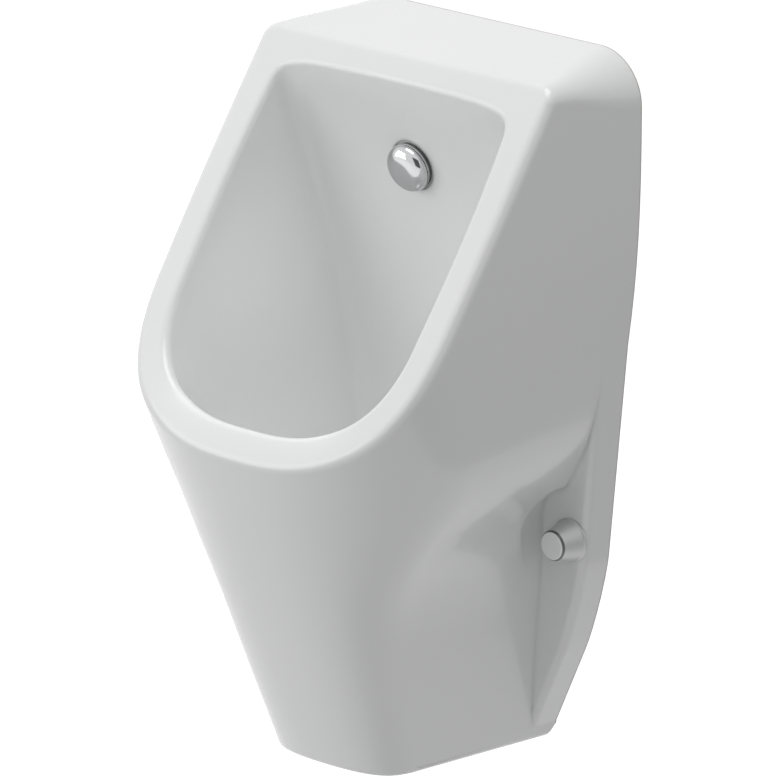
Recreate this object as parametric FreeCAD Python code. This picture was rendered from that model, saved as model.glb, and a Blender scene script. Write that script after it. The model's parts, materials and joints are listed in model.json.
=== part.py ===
import FreeCAD, Part
import math
import os
from FreeCAD import Vector

# Wall-hung urinal in glazed ceramic, with its flush nozzle, drain trap and wall fixings.
# Lengths are millimetres. Heights are measured up from the bottom edge and depths out from the wall.
# The finished pieces stand in a frame whose origin is midway between the two wall bolts, on the wall:
# X to the right of a person who faces the bowl, Y into the wall, Z up.

# Overall form and the sloping frame round the mouth
body_height = 564.0
top_drop = 9.0
bottom_rise = 8.0
frame_start_depth = 99.0
rim_round = 8.0
mouth_round = 6.0
top_round_front = 13.0
top_round_wall = 42.0
bottom_round = 5.0
heel_height = 10.0
heel_depth = 10.0

# Outer skin: heights of its stations, which follow the overall height
crease_height = 0.266 * body_height
flare_height = 0.323 * body_height
belly_height = 0.457 * body_height
lip_edge_height = 0.49 * body_height
lip_height = 0.603 * body_height
shoulder_height = 0.78 * body_height

# Outer skin: half widths at the wall
bottom_wall_half = 66.0
crease_wall_half = 76.0
flare_wall_half = 82.0
belly_wall_half = 122.0
lip_wall_half = 140.0
shoulder_wall_half = 150.0
top_wall_half = 151.5

# Outer skin: half widths where the sides turn into the front
bottom_side_half = 65.0
crease_side_half = 86.0
flare_side_half = 99.0
belly_side_half = 136.0
lip_side_half = 149.5
shoulder_side_half = 155.0
top_side_half = 154.5

# Outer skin: depth of the front and size of its corners
bottom_front = 190.0
crease_front = 249.0
lip_front = 291.0
bottom_corner = 36.0
crease_corner = 54.0
belly_corner = 110.0
front_bow = 3.0

# The frame's plane runs from the front edge of the top to the lip
frame_slope = (body_height - top_drop - lip_edge_height) / (lip_front - frame_start_depth)

# Ceramic walls
skin_wall = 11.0
bowl_wall = 11.0
rim_thickness = 15.0

# Bowl: heights of its stations, which follow the overall height
floor_height = 0.245 * body_height
bowl_low_height = floor_height + 0.06 * body_height
bowl_mid_height = floor_height + 0.238 * body_height
bowl_high_height = bowl_mid_height + 0.128 * body_height
mouth_top_height = 0.952 * body_height

# Bowl: depth and half width of the back wall
floor_back = 64.0
bowl_low_back = 58.0
bowl_mid_back = 58.0
bowl_high_back = 66.0
mouth_top_back = 111.5
floor_back_half = 46.0
bowl_low_back_half = 62.0
bowl_mid_back_half = 91.0
bowl_high_back_half = 97.0
mouth_top_back_half = 124.0
bowl_floor_corner = 24.0
bowl_crease_corner = 13.0
bowl_top_corner = 20.0

# Bowl: front wall and the spread of the side walls towards it
floor_front = 172.0
bowl_low_front = 214.0
bowl_mid_front = 261.0
floor_front_corner = 48.0
bowl_front_corner = 88.0
bowl_low_flare = 0.14
bowl_top_flare = 0.2
floor_round = 20.0

# Rear flange with the bolt ears
flange_depth = 30.0
flange_round = 5.0
flange_bottom_half = 66.0
flange_bottom_height = 10.0
flange_knee_half = 106.0
flange_knee_height = 96.0
flange_ear_half = 119.0
flange_ear_height = 140.0
flange_top_half = 148.0
flange_top_height = 415.0
flange_bend = 20.0
niche_radius = 30.0
niche_rise = 12.0
niche_length = 12.0
niche_round = 6.0
niche_wall = 8.0

# Wall fixings
fixing_height = 175.0
fixing_half_spacing = 108.0
bolt_radius = 4.0
sleeve_radius = 6.5
sleeve_fit = 0.1
clip_radius = 15.0
clip_thickness = 2.0
clip_rim = 1.4
clip_rim_height = 5.0
washer_radius = 10.0
washer_thickness = 1.6
nut_across_flats = 13.0
nut_height = 6.5
cap_base_radius = 17.5
cap_front_radius = 12.2
cap_length = 21.5
cap_wall = 1.1
cap_lip = 1.8
cap_step = 0.9
cap_round = 2.2
cap_gap = 0.3

# Flush nozzle
nozzle_height = mouth_top_height - 0.124 * body_height
nozzle_seat = 1.2
nozzle_seal_thickness = 3.4
nozzle_seal_radius = 20.2
nozzle_flange_radius = 19.5
nozzle_flange_thickness = 1.6
nozzle_end_thickness = 2.5
nozzle_shank_radius = 11.0
nozzle_bore_radius = 7.0
nozzle_stem_radius = 9.0
nozzle_stem_length = 6.5
nozzle_port_radius = 2.2
nozzle_ports = 6
thread_fit = 0.2
dome_radius = 21.5
dome_height = 10.0
dome_wall = 1.4
dome_gap = 1.8
inlet_boss_radius = 27.0
inlet_boss_depth = 5.0
inlet_hole_fit = 0.6
rear_gasket_thickness = 3.0
rear_washer_thickness = 2.0
rear_washer_radius = 22.0
back_nut_across_flats = 34.0
back_nut_height = 8.0
shank_tail = 16.0

# Rubber connector to the flush pipe
connector_wall = 3.3
connector_knee = 6.0
connector_throat_radius = 10.0
connector_grip = 13.0
pipe_socket_radius = 16.0
pipe_socket_length = 30.0
connector_wall_gap = 3.0
clamp_width = 8.0
clamp_margin = 1.0
clamp_thickness = 1.0
clamp_screw_radius = 3.0
clamp_screw_length = 12.0

# Drain
drain_depth = 114.0
outlet_radius = 22.0
spigot_wall = 6.0
spigot_length = 26.0
strainer_radius = 28.0
strainer_thickness = 1.5
strainer_skirt = 8.0
strainer_fit = 0.6
strainer_gap = 0.2
strainer_hole_radius = 2.6
strainer_inner_ring = 8.5
strainer_inner_holes = 6
strainer_outer_ring = 16.0
strainer_outer_holes = 12

# Bottle trap
trap_wall = 2.5
trap_radius = 38.0
trap_ledge_thickness = 3.0
gasket_thickness = 5.0
gasket_lip = 3.0
spigot_grip = 12.0
trap_nut_wall = 3.6
trap_nut_skirt = 9.0
trap_nut_lip = 3.0
cup_overlap = 12.0
cup_shoulder = 2.0
cup_round = 6.0
dip_radius = 19.0
dip_wall = 2.0
dip_flange_radius = 26.0
plastic_fit = 0.3
outlet_drop = 17.0
bottle_drop = 48.0
cup_drop = 25.0
dip_rise = 11.0

# Bottle trap: heights, down from the end of the ceramic spigot
spigot_end_height = floor_height - bowl_wall - spigot_length
trap_mouth_height = spigot_end_height + spigot_grip
trap_ledge_top = spigot_end_height - gasket_lip
trap_ledge_height = trap_ledge_top - trap_ledge_thickness
outlet_height = trap_ledge_height - outlet_drop
trap_joint_height = outlet_height - bottle_drop
trap_bottom_height = trap_joint_height - cup_drop
dip_bottom_height = trap_bottom_height + dip_rise

# Outlet to the wall drain
outlet_socket_length = 28.0
outlet_pipe_radius = 20.0
outlet_wall_radius = 25.0
outlet_pipe_wall = 2.0
outlet_pipe_grip = 17.0
outlet_step_depth = 30.0
outlet_step_length = 15.0
outlet_into_wall = 45.0
outlet_seal_length = 6.0
outlet_seal_thickness = 2.2
outlet_nut_wall = 3.6
outlet_nut_length = 12.0
outlet_nut_lip = 2.5

# Construction: room past the faces that a cutting solid passes, slack of a face test, arc handle length
clear = 12.0
near = 0.5
arc_handle = 0.5523

to_front = Vector(0, -1, 0)
to_wall = Vector(0, 1, 0)
up = Vector(0, 0, 1)

# Stations of the skin and the bowl as (height, size) pairs
wall_half_stations = [(0.0, bottom_wall_half), (crease_height, crease_wall_half),
                      (flare_height, flare_wall_half), (belly_height, belly_wall_half),
                      (lip_height, lip_wall_half), (shoulder_height, shoulder_wall_half),
                      (body_height, top_wall_half)]
side_half_stations = [(0.0, bottom_side_half), (crease_height, crease_side_half),
                      (flare_height, flare_side_half), (belly_height, belly_side_half),
                      (lip_height, lip_side_half), (shoulder_height, shoulder_side_half),
                      (body_height, top_side_half)]
front_stations = [(0.0, bottom_front), (crease_height, crease_front), (lip_edge_height, lip_front)]
corner_stations = [(0.0, bottom_corner), (crease_height, crease_corner), (belly_height, belly_corner),
                   (body_height, belly_corner)]
bowl_back_stations = [(floor_height, floor_back), (bowl_low_height, bowl_low_back),
                      (bowl_mid_height, bowl_mid_back), (bowl_high_height, bowl_high_back),
                      (mouth_top_height, mouth_top_back)]
bowl_half_stations = [(floor_height, floor_back_half), (bowl_low_height, bowl_low_back_half),
                      (bowl_mid_height, bowl_mid_back_half), (bowl_high_height, bowl_high_back_half),
                      (mouth_top_height, mouth_top_back_half)]
bowl_front_stations = [(floor_height, floor_front), (bowl_low_height, bowl_low_front),
                       (bowl_mid_height, bowl_mid_front)]
bowl_corner_stations = [(floor_height, floor_front_corner), (bowl_mid_height, bowl_front_corner),
                        (body_height, bowl_front_corner)]
bowl_crease_stations = [(floor_height, bowl_floor_corner), (bowl_mid_height, bowl_crease_corner),
                        (bowl_high_height, bowl_crease_corner), (mouth_top_height, bowl_top_corner)]
bowl_flare_stations = [(floor_height, bowl_low_flare), (bowl_high_height, bowl_low_flare),
                       (nozzle_height, bowl_top_flare), (body_height, bowl_top_flare)]


def at(side, depth, height):
    """Point in the part's frame from a sideways place, a depth out from the wall and a height."""
    return Vector(side, -depth, height - fixing_height)


def smooth(height, stations):
    """Size at a height on a monotone curve through the stations, straight beyond them."""
    slopes = [(after[1] - before[1]) / (after[0] - before[0])
              for before, after in zip(stations, stations[1:])]
    if height <= stations[0][0]:
        return stations[0][1] + slopes[0] * (height - stations[0][0])
    if height >= stations[-1][0]:
        return stations[-1][1] + slopes[-1] * (height - stations[-1][0])
    tangents = [slopes[0]]
    for lower, upper in zip(slopes, slopes[1:]):
        same_way = lower * upper > 0
        tangents.append(2 * lower * upper / (lower + upper) if same_way else 0.0)
    tangents.append(slopes[-1])
    span = next(i for i in range(len(slopes)) if height <= stations[i + 1][0])
    (low, start), (high, end) = stations[span], stations[span + 1]
    length = high - low
    t = (height - low) / length
    return ((2 * t ** 3 - 3 * t ** 2 + 1) * start + (t ** 3 - 2 * t ** 2 + t) * length * tangents[span]
            + (3 * t ** 2 - 2 * t ** 3) * end + (t ** 3 - t ** 2) * length * tangents[span + 1])


def top_at(depth):
    """Height of the top face at a depth."""
    return body_height - top_drop * depth / frame_start_depth


def frame_at(height):
    """Depth of the frame's plane at a height."""
    return frame_start_depth + (body_height - top_drop - height) / frame_slope


def bottom_at(depth):
    """Height of the bottom edge at a depth."""
    return bottom_rise * depth / bottom_front


def edges_on(shape, test):
    """Edges whose middle passes a test of side, depth and height."""
    chosen = []
    for edge in shape.Edges:
        middle = edge.valueAt((edge.FirstParameter + edge.LastParameter) / 2)
        if test(middle.x, -middle.y, middle.z + fixing_height):
            chosen.append(edge)
    return chosen


def lies_on(shell, point):
    """True where a point is on a shell."""
    return shell.distToShape(Part.Vertex(point))[0] < near / 10


def rounded_end(height, half, depth, corner, bow, lean, way):
    """Curve across the front (way 1) or back (way -1) of a section, in line with its leaning sides."""
    reach = arc_handle * corner
    right = [(half, depth - way * corner), (half + way * lean * reach, depth - way * (corner - reach)),
             (half - corner + reach, depth)]
    left = [(-side, place) for side, place in reversed(right)]
    poles = [at(side, place, height) for side, place in right + [(0.0, depth + bow)] + left]
    curve = Part.BSplineCurve()
    curve.buildFromPolesMultsKnots(poles, [4, 1, 1, 1, 4], [0, 1, 2, 3, 4], False, 3)
    return curve.toShape()


def section(height, back, back_half, back_corner, front, front_half, front_corner, bow):
    """Closed plan section: back end, straight sides and a rounded front end."""
    lean = (front_half - back_half) / (front - front_corner - back - back_corner)
    front_edge = rounded_end(height, front_half, front, front_corner, bow, lean, 1)
    right_start = at(back_half, back + back_corner, height)
    left_start = at(-back_half, back + back_corner, height)
    if back_corner:
        back_edge = rounded_end(height, back_half, back, back_corner, 0.0, lean, -1)
    else:
        back_edge = Part.makeLine(left_start, right_start)
    right = Part.makeLine(right_start, at(front_half, front - front_corner, height))
    left = Part.makeLine(at(-front_half, front - front_corner, height), left_start)
    return Part.Wire([right, front_edge, left, back_edge])


def outer_loft(inset):
    """Outer skin, or the space a wall thickness inside it, carried past its ends."""
    heights = [-clear, 0.0, crease_height / 3, crease_height * 2 / 3, crease_height, flare_height,
               (flare_height + belly_height) / 2, belly_height, (belly_height + lip_height) / 2, lip_height,
               (lip_height + shoulder_height) / 2, shoulder_height, body_height, body_height + clear]
    wires = [section(height, -clear, smooth(height, wall_half_stations) - inset, 0.0,
                     smooth(height, front_stations) - inset, smooth(height, side_half_stations) - inset,
                     smooth(height, corner_stations) - inset / 2, front_bow) for height in heights]
    return Part.makeLoft(wires, True, False)


def side_outline(inset, overrun):
    """Solid under the top and behind the frame, a given distance inside them, run past wall and bottom."""
    tilt = math.hypot(1.0, frame_slope)
    top_slope = top_drop / frame_start_depth
    foot_slope = bottom_rise / bottom_front
    top_height = body_height - inset * math.hypot(1.0, top_slope)
    frame_height = body_height - top_drop + frame_slope * frame_start_depth - inset * tilt
    start_depth = (frame_height - top_height) / (frame_slope - top_slope)
    foot_depth = (frame_height + overrun) / (frame_slope + foot_slope)
    points = [(heel_depth, foot_slope * heel_depth - overrun), (-overrun, heel_height - overrun),
              (-overrun, top_height + top_slope * overrun),
              (start_depth, top_height - top_slope * start_depth),
              (foot_depth, foot_slope * foot_depth - overrun)]
    half = max(top_side_half, shoulder_side_half, top_wall_half) + clear
    corners = [at(-half, depth, height) for depth, height in points]
    face = Part.Face(Part.makePolygon(corners + corners[:1]))
    return face.extrude(Vector(2 * half, 0, 0))


def flange():
    """Plate against the wall that carries the bolt ears, its outline bent at the knee."""
    bottom, knee, ear, top = [at(half, 0.0, height) for half, height in (
        (flange_bottom_half, flange_bottom_height), (flange_knee_half, flange_knee_height),
        (flange_ear_half, flange_ear_height), (flange_top_half, flange_top_height))]
    bend_start = knee + (bottom - knee).normalize() * flange_bend
    bend_end = ear + (top - ear).normalize() * flange_bend
    bend = Part.BezierCurve()
    bend.setPoles([bend_start, knee, ear, bend_end])
    right = [Part.makeLine(bottom, bend_start), bend.toShape(), Part.makeLine(bend_end, top)]
    left = [edge.mirror(Vector(0, 0, 0), Vector(1, 0, 0)) for edge in right]
    ends = [Part.makeLine(point, Vector(-point.x, point.y, point.z)) for point in (top, bottom)]
    wire = Part.Wire(Part.__sortEdges__(right + left + ends))
    plate = Part.Face(wire).extrude(to_front * flange_depth)
    return plate.makeFillet(flange_round, edges_on(
        plate, lambda x, f, z: f > flange_depth - near and abs(x) > near))


def bolt_niche(side, start, margin):
    """Room in front of a bolt ear, or a margin round it: domed above, rounded in front, open downwards."""
    radius = niche_radius + margin
    height = fixing_height + niche_rise
    length = flange_depth + niche_length - start
    base = at(side, start, height)
    front = at(side, start + length, height)
    drop = height + clear
    room = Part.makeSphere(radius, front).fuse([
        Part.makeCylinder(radius, length, base, to_front),
        Part.makeCylinder(radius, drop, front, -up),
        Part.makeBox(2 * radius, length, drop, base + Vector(-radius, -length, -drop))])
    reach = radius + length
    span = radius + clear
    ahead = Part.makeBox(2 * span, reach + clear, drop + 2 * span,
                         base + Vector(-span, -reach - clear, -drop - span))
    return room.removeSplitter().common(ahead)


def outer_body():
    """Outer skin with rounded top, frame and bottom edges, its flange and the bolt niches."""
    body = outer_loft(0.0).common(side_outline(0.0, 0.0))
    body = body.makeFillet(bottom_round, edges_on(
        body, lambda x, f, z: abs(z - bottom_at(f)) < near and f > near))
    for way in (1, -1):
        edge = edges_on(body, lambda x, f, z: abs(z - top_at(f)) < near and f > near
                        and way * x > top_wall_half - top_round_front)[0]
        from_wall = -edge.valueAt(edge.FirstParameter).y < near
        radii = (top_round_wall, top_round_front) if from_wall else (top_round_front, top_round_wall)
        body = body.makeFillet(radii[0], radii[1], [edge])
    body = body.makeFillet(rim_round, edges_on(body, lambda x, f, z: abs(f - frame_at(z)) < near))
    skin = body.Shells[0]
    niches = [bolt_niche(way * fixing_half_spacing, flange_depth, 0.0) for way in (1, -1)]
    body = body.fuse(flange()).cut(niches).removeSplitter()
    for niche in niches:
        inner = niche.Shells[0]
        body = body.makeFillet(niche_round, edges_on(
            body, lambda x, f, z: flange_depth + near < f < flange_depth + niche_length + niche_radius
            and lies_on(inner, at(x, f, z)) and lies_on(skin, at(x, f, z))))
    return body


def bowl_loft(offset):
    """Inside of the bowl, or its outer side a wall thickness away, carried past the mouth."""
    heights = [floor_height, bowl_low_height, (bowl_low_height + bowl_mid_height) / 2, bowl_mid_height,
               bowl_high_height, nozzle_height, mouth_top_height, mouth_top_height + 2 * clear]
    wires = []
    for height in heights:
        back = smooth(height, bowl_back_stations) - offset
        front = smooth(height, bowl_front_stations) + offset
        half = smooth(height, bowl_half_stations) + offset
        corner = smooth(height, bowl_corner_stations) + offset / 2
        spread = smooth(height, bowl_flare_stations) * (front - corner - back)
        drop = offset if height == floor_height else 0.0
        back_corner = smooth(height, bowl_crease_stations) + offset / 2
        wires.append(section(height - drop, back, half, back_corner, front, half + spread, corner, 0.0))
    loft = Part.makeLoft(wires, True, False)
    return loft.makeFillet(floor_round, edges_on(
        loft, lambda x, f, z: abs(z - floor_height + offset) < near))


def nozzle_tilt():
    """Lean of the bowl's back wall from upright at the flush nozzle, in radians."""
    above = smooth(nozzle_height + near, bowl_back_stations)
    below = smooth(nozzle_height - near, bowl_back_stations)
    return math.atan((above - below) / (2 * near))


# Flush axis: square to the back wall, out of the middle of the nozzle's flat seat
flush_way = Vector(0, -math.cos(nozzle_tilt()), -math.sin(nozzle_tilt()))
flush_seat = at(0.0, smooth(nozzle_height, bowl_back_stations), nozzle_height) - flush_way * nozzle_seat
boss_back = bowl_wall + inlet_boss_depth - nozzle_seat
gasket_back = boss_back + rear_gasket_thickness
washer_back = gasket_back + rear_washer_thickness
nut_back = washer_back + back_nut_height
shank_back = nut_back + shank_tail


def turned(profile, base, axis):
    """Solid of revolution from (radius, place along the axis) points; two points in a step make an arc."""
    turn = FreeCAD.Rotation(up, axis)
    places = [[base + turn.multVec(Vector(radius, 0, along))
               for radius, along in zip(step[::2], step[1::2])] for step in profile]
    edges = []
    last = places[-1][-1]
    for step in places:
        edges.append(Part.makeLine(last, *step) if len(step) == 1 else Part.Arc(last, *step).toShape())
        last = step[-1]
    solid = Part.Face(Part.Wire(edges)).revolve(base, axis, 360)
    if solid.Volume < 0:
        solid.reverse()
    return solid


def ring(outer, inner, base, axis, start, end):
    """Plain ring between two places along an axis."""
    return turned([(inner, start), (outer, start), (outer, end), (inner, end)], base, axis)


def hexagon(across_flats, base, axis, start, end):
    """Hexagonal prism between two places along an axis."""
    frame = FreeCAD.Rotation(up, axis)
    radius = across_flats / math.sqrt(3)
    corners = [base + axis * start + frame.multVec(Vector(radius * math.cos(turn * math.pi / 3),
                                                          radius * math.sin(turn * math.pi / 3), 0))
               for turn in range(6)]
    return Part.Face(Part.makePolygon(corners + corners[:1])).extrude(axis * (end - start))


def rod(radius, base, axis, start, end):
    """Plain cylinder between two places along an axis."""
    return Part.makeCylinder(radius, end - start, base + axis * start, axis)


def both_sides(make):
    """The same piece at the left and at the right bolt, as one group of solids."""
    return Part.makeCompound([make(at(way * fixing_half_spacing, flange_depth, fixing_height))
                              for way in (-1, 1)])


def ceramic_body():
    """Ceramic casting: outer skin, frame, bowl, inlet boss, outlet spigot and bolt holes."""
    body = outer_body()
    bowl = bowl_loft(0.0)
    body = body.cut(bowl)
    body = body.makeFillet(mouth_round, edges_on(
        body, lambda x, f, z: abs(f - frame_at(z)) < near and bowl.isInside(at(x, f, z), near, True)))
    shell = bowl_loft(bowl_wall)
    hollow = outer_loft(skin_wall).common(side_outline(rim_thickness, clear)).cut(shell)
    kept = [bolt_niche(way * fixing_half_spacing, -clear, niche_wall) for way in (1, -1)]
    body = body.cut(hollow.cut(kept))
    drain = at(0.0, drain_depth, floor_height)
    spigot = rod(outlet_radius + spigot_wall, drain, -up, bowl_wall / 2, bowl_wall + spigot_length)
    boss = rod(inlet_boss_radius, flush_seat, -flush_way, bowl_wall / 2, boss_back)
    body = body.fuse([spigot, boss])
    holes = [rod(outlet_radius, drain, -up, -clear, bowl_wall + spigot_length + clear),
             rod(nozzle_shank_radius + inlet_hole_fit, flush_seat, -flush_way, -clear, boss_back + clear),
             rod(nozzle_seal_radius + inlet_hole_fit, flush_seat, flush_way, 0.0, clear)]
    for way in (-1, 1):
        bolt = at(way * fixing_half_spacing, 0.0, fixing_height)
        holes.append(rod(sleeve_radius + sleeve_fit, bolt, to_front, -clear, flange_depth + clear))
    return body.cut(holes)


def fixing_pieces():
    """Sleeves, cap clips, washers and nuts for the two bolts that stand out of the wall."""
    washer_start = clip_thickness
    nut_start = washer_start + washer_thickness
    nut_end = nut_start + nut_height
    bolt_hole = bolt_radius + sleeve_fit

    def clip(base):
        inner = clip_radius - clip_rim
        return turned([(bolt_hole, 0), (clip_radius, 0), (clip_radius, clip_rim_height),
                       (inner, clip_rim_height), (inner, clip_thickness), (bolt_hole, clip_thickness)],
                      base, to_front)

    def nut(base):
        blank = hexagon(nut_across_flats, base, to_front, nut_start, nut_end)
        return blank.cut(rod(bolt_hole, base, to_front, nut_start, nut_end))

    return {
        "bolt_sleeves": both_sides(lambda base: ring(
            sleeve_radius, bolt_hole, base, to_front, -flange_depth, 0.0)),
        "cap_clips": both_sides(clip),
        "bolt_washers": both_sides(lambda base: ring(
            washer_radius, bolt_hole, base, to_front, washer_start, nut_start)),
        "bolt_nuts": both_sides(nut),
    }


def bolt_cap(way):
    """Chrome cap over one bolt: flared base ring, tapered side and rounded front, hollow."""
    base = at(way * fixing_half_spacing, flange_depth + cap_gap, fixing_height)
    taper_start = cap_base_radius - cap_step
    bend = cap_round * (1 - math.sqrt(0.5))
    inner_base = clip_radius + cap_gap
    profile = [(inner_base, 0), (cap_base_radius, 0), (cap_base_radius, cap_lip),
               (taper_start, cap_lip + cap_step),
               (cap_front_radius, cap_length - cap_round),
               (cap_front_radius - bend, cap_length - bend, cap_front_radius - cap_round, cap_length),
               (0, cap_length), (0, cap_length - cap_wall),
               (cap_front_radius - cap_round, cap_length - cap_wall),
               (cap_front_radius - cap_wall, cap_length - cap_round - cap_wall),
               (inner_base, clip_rim_height)]
    return turned(profile, base, to_front)


def nozzle_pieces():
    """Spray nozzle clamped through the back wall, with its dome, seals and nut."""
    flange_start = nozzle_seal_thickness
    flange_end = flange_start + nozzle_flange_thickness
    stem_end = flange_end + nozzle_stem_length
    shank_hole = nozzle_shank_radius + thread_fit
    nozzle = turned([(nozzle_bore_radius, -shank_back), (nozzle_shank_radius, -shank_back),
                     (nozzle_shank_radius, flange_start), (nozzle_flange_radius, flange_start),
                     (nozzle_flange_radius, flange_end), (nozzle_stem_radius, flange_end),
                     (nozzle_stem_radius, stem_end), (0, stem_end), (0, stem_end - nozzle_end_thickness),
                     (nozzle_bore_radius, stem_end - nozzle_end_thickness)], flush_seat, flush_way)
    port_base = flush_seat + flush_way * (flange_end + (nozzle_stem_length - nozzle_end_thickness) / 2)
    turn = FreeCAD.Rotation(up, flush_way)
    for port in range(nozzle_ports):
        angle = 2 * math.pi * port / nozzle_ports
        outward = turn.multVec(Vector(math.cos(angle), math.sin(angle), 0))
        nozzle = nozzle.cut(rod(nozzle_port_radius, port_base, outward, 0.0, nozzle_stem_radius + clear))
    dome_start = flange_end + dome_gap
    sphere = (dome_radius ** 2 + dome_height ** 2) / (2 * dome_height)
    centre = dome_start + dome_height - sphere
    half_turn = math.asin(dome_radius / sphere) / 2
    inner_sphere = sphere - dome_wall
    inner_radius = math.sqrt(inner_sphere ** 2 - (dome_start - centre) ** 2)
    inner_turn = math.asin(inner_radius / inner_sphere)
    boss_turn = math.asin(nozzle_stem_radius / inner_sphere)
    middle_turn = (inner_turn + boss_turn) / 2
    dome = turned([(0, stem_end), (nozzle_stem_radius, stem_end),
                   (nozzle_stem_radius, centre + inner_sphere * math.cos(boss_turn)),
                   (inner_sphere * math.sin(middle_turn), centre + inner_sphere * math.cos(middle_turn),
                    inner_radius, dome_start),
                   (dome_radius, dome_start),
                   (sphere * math.sin(half_turn), centre + sphere * math.cos(half_turn),
                    0, dome_start + dome_height)], flush_seat, flush_way)
    nut = hexagon(back_nut_across_flats, flush_seat, -flush_way, washer_back, nut_back)
    return {
        "flush_nozzle": nozzle,
        "flush_dome": dome,
        "nozzle_front_seal": ring(nozzle_seal_radius, shank_hole, flush_seat, flush_way, 0.0, flange_start),
        "nozzle_rear_gasket": ring(rear_washer_radius, shank_hole, flush_seat, -flush_way,
                                   boss_back, gasket_back),
        "nozzle_washer": ring(rear_washer_radius, shank_hole, flush_seat, -flush_way,
                              gasket_back, washer_back),
        "nozzle_back_nut": nut.cut(rod(shank_hole, flush_seat, -flush_way, washer_back, nut_back)),
    }


def inlet_pieces():
    """Bent rubber connector from the nozzle's tail to the flush pipe, with its clamp."""
    knee = flush_seat - flush_way * (shank_back + connector_knee)
    grip_start = shank_back - connector_grip
    tail_radius = nozzle_shank_radius + thread_fit
    tail_outer = tail_radius + connector_wall
    socket_outer = pipe_socket_radius + connector_wall
    socket_end = -knee.y - connector_wall_gap
    socket_start = socket_end - pipe_socket_length
    outside = Part.makeSphere(tail_outer, knee).fuse([
        rod(tail_outer, flush_seat, -flush_way, grip_start, shank_back + connector_knee),
        Part.makeCone(tail_outer, socket_outer, socket_start, knee, to_wall),
        rod(socket_outer, knee, to_wall, socket_start, socket_end)])
    inside = Part.makeSphere(connector_throat_radius, knee).fuse([
        rod(tail_radius, flush_seat, -flush_way, grip_start - near, shank_back),
        rod(connector_throat_radius, flush_seat, -flush_way, shank_back - near,
            shank_back + connector_knee),
        rod(connector_throat_radius, knee, to_wall, 0.0, socket_end),
        rod(pipe_socket_radius, knee, to_wall, socket_start, socket_end + near)])
    band_inner = tail_outer + thread_fit / 2
    band_start = grip_start + clamp_margin
    band_end = band_start + clamp_width
    band = ring(band_inner + clamp_thickness, band_inner, flush_seat, -flush_way, band_start, band_end)
    across = Vector(1, 0, 0)
    screw_middle = (flush_seat - flush_way * ((band_start + band_end) / 2)
                    + flush_way.cross(across) * (band_inner + clamp_thickness / 2 + clamp_screw_radius))
    screw = rod(clamp_screw_radius, screw_middle, across, -clamp_screw_length / 2, clamp_screw_length / 2)
    return {"inlet_connector": outside.cut(inside), "connector_clamp": band.fuse(screw)}


def strainer():
    """Perforated drain strainer that lies over the outlet, with a locating skirt."""
    base = at(0.0, drain_depth, floor_height + strainer_gap)
    skirt_outer = outlet_radius - strainer_fit
    skirt_inner = skirt_outer - strainer_thickness
    bevel = strainer_radius - strainer_thickness
    plate = turned([(0, 0), (skirt_inner, 0), (skirt_inner, -strainer_skirt),
                    (skirt_outer, -strainer_skirt), (skirt_outer, 0), (strainer_radius, 0),
                    (bevel, strainer_thickness), (0, strainer_thickness)], base, up)
    holes = [rod(strainer_hole_radius, base, up, -clear, clear)]
    rings = ((strainer_inner_ring, strainer_inner_holes), (strainer_outer_ring, strainer_outer_holes))
    for circle, count in rings:
        for hole in range(count):
            turn = 2 * math.pi * hole / count
            centre = base + Vector(circle * math.cos(turn), circle * math.sin(turn), 0)
            holes.append(rod(strainer_hole_radius, centre, up, -clear, clear))
    return plate.cut(holes)


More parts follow.
